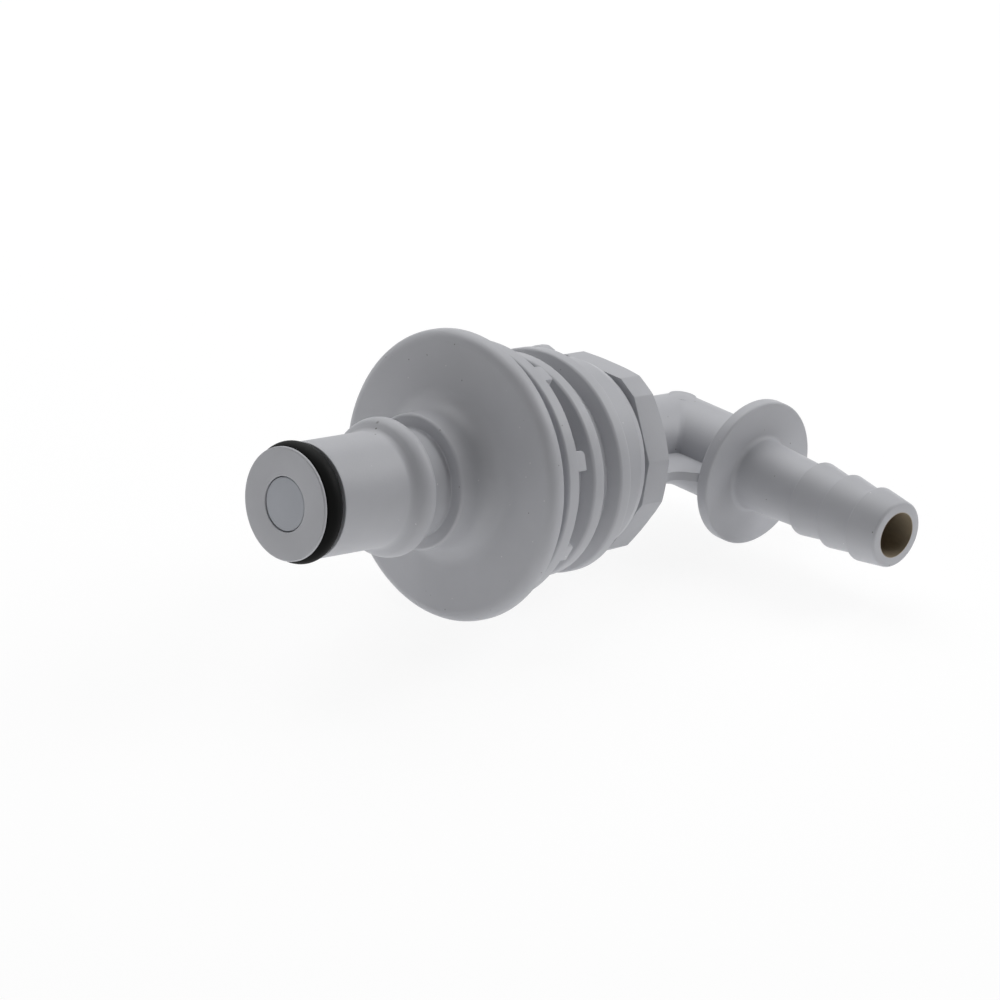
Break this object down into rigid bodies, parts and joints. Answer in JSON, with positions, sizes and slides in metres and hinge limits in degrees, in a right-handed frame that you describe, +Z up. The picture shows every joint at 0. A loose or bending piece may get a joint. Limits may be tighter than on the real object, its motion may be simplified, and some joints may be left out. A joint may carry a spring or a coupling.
{
  "type": "hose barb coupling insert",
  "caption": "Panel-mount quick-coupling insert with a flush sprung valve, latch bead, toothed flange, coarse outside thread, and a mitred elbow ending in a ridged hose barb.",
  "frame": {"origin": "centre of the flange's rear face, the side that looks towards the panel", "axes": "-Y along the main axis towards the nose, +X along the hose barb, +Z up"},
  "size_m": [0.0495, 0.0692, 0.032],
  "materials": {
    "moulded_plastic": "light grey, finely speckled, satin moulded surface",
    "valve_plastic": "light grey, satin moulded surface",
    "seal_rubber": "black, lightly oiled",
    "spring_steel": "drawn stainless wire"
  },
  "bodies": {
    "body": {"insert_body": "moulded_plastic", "nose_seal": "seal_rubber", "valve_guide": "valve_plastic", "valve_spring": "spring_steel", "elbow_barb": "moulded_plastic", "elbow_seal": "seal_rubber"},
    "valve": {"valve_poppet": "valve_plastic", "valve_seal": "seal_rubber"}
  },
  "joints": [
    {"name": "valve_slide", "type": "slide", "parent": "body", "child": "valve", "axis": [0, 1, 0], "range_m": [0, 0.004], "stiffness_N_per_m": 500, "springref_m": -0.006, "deforming": ["valve_spring"]}
  ]
}
